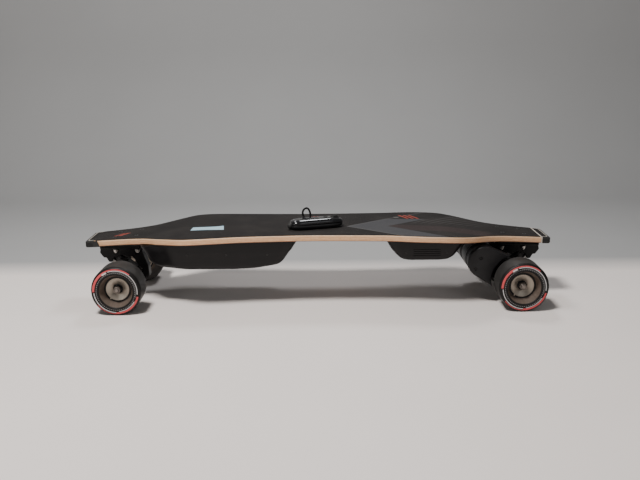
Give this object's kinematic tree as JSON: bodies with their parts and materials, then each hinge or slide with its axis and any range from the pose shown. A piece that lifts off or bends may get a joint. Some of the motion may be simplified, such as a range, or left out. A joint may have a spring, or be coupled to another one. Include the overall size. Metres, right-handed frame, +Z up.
{
  "type": "electric skateboard",
  "caption": "Electric longboard with a plywood deck, two enclosures underneath, steering trucks, belt-driven rear wheels and a handset lying on the deck.",
  "frame": {"origin": "on the ground under the middle of the board, between the four wheels", "axes": "+X from nose to tail, +Y to the rider's right, +Z up"},
  "size_m": [0.934, 0.28, 0.1835],
  "materials": {
    "plywood": "satin varnished ply edge",
    "grip": "fine textured foam grip",
    "bumper": "matt",
    "enclosure": "satin",
    "cells": "wrapped cells",
    "circuit": "circuit board",
    "button": "matt",
    "handset": "glossy",
    "lens": "clear gloss over a dark display",
    "cord": "braided",
    "thumb_wheel": "ribbed",
    "riser": "matt",
    "truck": "satin black",
    "bushing": "urethane",
    "steel": "zinc plated",
    "tyre": "smooth urethane with a printed ring",
    "wheel_core": "satin",
    "pulley": "anodised",
    "belt": "matt",
    "belt_cover": "satin",
    "motor": "satin black"
  },
  "bodies": {
    "board": {"deck": "plywood", "grip_tape": "grip", "nose_bumper": "bumper", "tail_bumper": "bumper", "battery_enclosure": "enclosure", "battery_pack": "cells", "controller_enclosure": "enclosure", "motor_controller": "circuit", "front_riser": "riser", "front_baseplate": "truck", "front_kingpin": "steel", "front_kingpin_nut": "steel", "front_boardside_bushing": "bushing", "front_roadside_bushing": "bushing", "front_pivot_cup": "riser", "rear_riser": "riser", "rear_baseplate": "truck", "rear_kingpin": "steel", "rear_kingpin_nut": "steel", "rear_boardside_bushing": "bushing", "rear_roadside_bushing": "bushing", "rear_pivot_cup": "riser"},
    "front_truck": {"front_hanger": "truck", "front_axle": "steel", "front_left_axle_nut": "steel", "front_right_axle_nut": "steel"},
    "rear_truck": {"rear_hanger": "truck", "rear_axle": "steel", "rear_left_axle_nut": "steel", "rear_right_axle_nut": "steel", "left_motor_mount": "truck", "left_motor_stator": "motor", "left_belt": "belt", "left_belt_cover": "belt_cover", "right_motor_mount": "truck", "right_motor_stator": "motor", "right_belt": "belt", "right_belt_cover": "belt_cover"},
    "front_left_wheel": {"front_left_tyre": "tyre", "front_left_wheel_core": "wheel_core"},
    "front_right_wheel": {"front_right_tyre": "tyre", "front_right_wheel_core": "wheel_core"},
    "rear_left_wheel": {"rear_left_tyre": "tyre", "rear_left_wheel_core": "wheel_core", "left_wheel_pulley": "pulley"},
    "rear_right_wheel": {"rear_right_tyre": "tyre", "rear_right_wheel_core": "wheel_core", "right_wheel_pulley": "pulley"},
    "left_motor": {"left_motor_rotor": "motor", "left_motor_pulley": "pulley"},
    "right_motor": {"right_motor_rotor": "motor", "right_motor_pulley": "pulley"},
    "power_button": {"power_button": "button"},
    "charge_cap": {"charge_port_cap": "bumper"},
    "handset": {"handset_lower_shell": "handset", "handset_upper_shell": "handset", "display_lens": "lens", "lanyard_loop": "cord"},
    "thumb_wheel": {"thumb_wheel": "thumb_wheel"},
    "handset_button": {"handset_button": "button"}
  },
  "joints": [
    {"name": "front_steer", "type": "hinge", "parent": "board", "child": "front_truck", "pos_m": [-0.3866, 0, 0.066], "axis": [-0.7071, 0, 0.7071], "range_deg": [-15, 15], "stiffness_Nm_per_rad": 60, "deforming": ["front_boardside_bushing", "front_roadside_bushing"]},
    {"name": "rear_steer", "type": "hinge", "parent": "board", "child": "rear_truck", "pos_m": [0.3926, 0, 0.066], "axis": [0.7071, 0, 0.7071], "range_deg": [-6, 6], "stiffness_Nm_per_rad": 60, "deforming": ["rear_boardside_bushing", "rear_roadside_bushing"]},
    {"name": "front_left_wheel_spin", "type": "hinge", "parent": "front_truck", "child": "front_left_wheel", "pos_m": [-0.3866, 0, 0.048], "axis": [0, 1, 0], "continuous": true},
    {"name": "front_right_wheel_spin", "type": "hinge", "parent": "front_truck", "child": "front_right_wheel", "pos_m": [-0.3866, 0, 0.048], "axis": [0, 1, 0], "continuous": true},
    {"name": "rear_left_wheel_spin", "type": "hinge", "parent": "rear_truck", "child": "rear_left_wheel", "pos_m": [0.3926, 0, 0.048], "axis": [0, 1, 0], "continuous": true},
    {"name": "rear_right_wheel_spin", "type": "hinge", "parent": "rear_truck", "child": "rear_right_wheel", "pos_m": [0.3926, 0, 0.048], "axis": [0, 1, 0], "continuous": true},
    {"name": "left_motor_spin", "type": "hinge", "parent": "rear_truck", "child": "left_motor", "pos_m": [0.32563, 0, 0.08436], "axis": [0, 1, 0], "continuous": true},
    {"name": "right_motor_spin", "type": "hinge", "parent": "rear_truck", "child": "right_motor", "pos_m": [0.32563, 0, 0.08436], "axis": [0, 1, 0], "continuous": true},
    {"name": "power_button_press", "type": "slide", "parent": "board", "child": "power_button", "axis": [0, 0, 1], "range_m": [0, 0.001], "stiffness_N_per_m": 800, "springref_m": -0.001},
    {"name": "charge_cap_swing", "type": "hinge", "parent": "board", "child": "charge_cap", "pos_m": [0.215, 0.0863, 0.1255], "axis": [1, 0, 0], "range_deg": [0, 90]},
    {"name": "handset_lift", "type": "slide", "parent": "board", "child": "handset", "axis": [0, 0, 1], "range_m": [0, 0.15]},
    {"name": "thumb_wheel_turn", "type": "hinge", "parent": "handset", "child": "thumb_wheel", "pos_m": [0.03404, -0.02464, 0.1632], "axis": [-0.309, 0.9511, 0], "range_deg": [-30, 30], "stiffness_Nm_per_rad": 0.02},
    {"name": "handset_button_press", "type": "slide", "parent": "handset", "child": "handset_button", "axis": [0, 0, -1], "range_m": [0, 0.0008], "stiffness_N_per_m": 500, "springref_m": -0.001}
  ],
  "couplings": [
    {"joint": "left_motor_spin", "follows": "rear_left_wheel_spin", "ratio": 2.375},
    {"joint": "right_motor_spin", "follows": "rear_right_wheel_spin", "ratio": 2.375}
  ]
}
